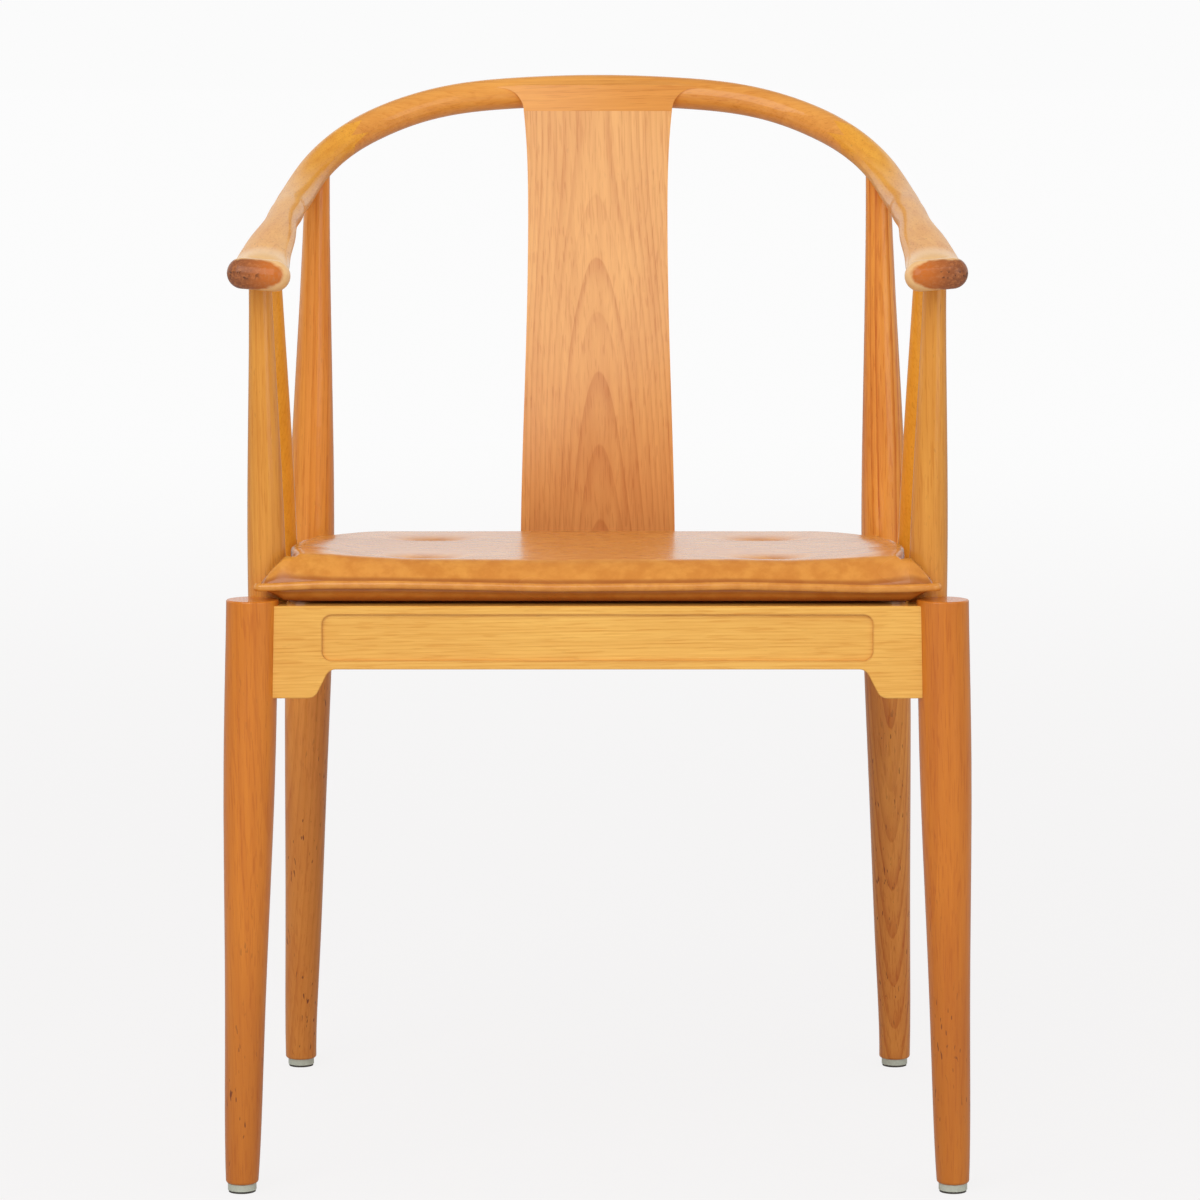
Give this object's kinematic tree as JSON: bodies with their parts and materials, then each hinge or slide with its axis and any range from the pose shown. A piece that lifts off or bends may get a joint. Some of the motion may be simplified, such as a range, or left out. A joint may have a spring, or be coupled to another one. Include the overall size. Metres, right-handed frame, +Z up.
{
  "type": "armchair",
  "caption": "Horseshoe back wooden armchair with round tapered legs, a broad back splat, slanting arm spindles and a loose tufted leather seat cushion",
  "frame": {"origin": "on the floor, at the middle of the chair's width and depth", "axes": "+Z up, +Y from the chair's front to its back, +X to the right of someone who stands in front of the chair and faces it"},
  "size_m": [0.5516, 0.55, 0.82],
  "materials": {
    "frame_wood": "glossy clear lacquer over honey-coloured fruitwood",
    "leg_wood": "glossy clear lacquer, deeper colour",
    "seat_wood": "bare sanded wood",
    "seat_leather": "tan semi-gloss leather",
    "cushion_foam": "cushion filling",
    "tuft_thread": "waxed thread",
    "steel_fixings": "zinc plated",
    "glide_base": "pale glossy plastic",
    "glide_pad": "dark grey plastic"
  },
  "bodies": {
    "frame": {"arm_post_left": "frame_wood", "arm_post_right": "frame_wood", "arm_spindle_left": "frame_wood", "arm_spindle_right": "frame_wood", "arm_rail_left": "frame_wood", "arm_rail_right": "frame_wood", "side_seat_rail_left": "frame_wood", "side_seat_rail_right": "frame_wood", "crest_rail": "frame_wood", "back_splat": "frame_wood", "front_seat_rail": "frame_wood", "rear_seat_rail": "frame_wood", "front_leg_left": "leg_wood", "front_leg_right": "leg_wood", "rear_leg_left": "leg_wood", "rear_leg_right": "leg_wood", "seat_panel": "seat_wood", "corner_block_front_left": "seat_wood", "corner_block_front_right": "seat_wood", "corner_block_rear_left": "seat_wood", "corner_block_rear_right": "seat_wood", "panel_batten_left": "seat_wood", "panel_batten_right": "seat_wood", "corner_block_screws": "steel_fixings", "batten_screws": "steel_fixings", "panel_screws": "steel_fixings", "glide_nails": "steel_fixings", "glide_base_front_left": "glide_base", "glide_base_front_right": "glide_base", "glide_base_rear_left": "glide_base", "glide_base_rear_right": "glide_base", "glide_pad_front_left": "glide_pad", "glide_pad_front_right": "glide_pad", "glide_pad_rear_left": "glide_pad", "glide_pad_rear_right": "glide_pad"},
    "cushion": {"cushion_top_leather": "seat_leather", "cushion_bottom_leather": "seat_leather", "cushion_welt": "seat_leather", "cushion_core": "cushion_foam", "cushion_tuft_ties": "tuft_thread"}
  },
  "joints": [
    {"name": "cushion_lift", "type": "slide", "parent": "frame", "child": "cushion", "axis": [0, 0, 1], "range_m": [0, 0.15]}
  ]
}
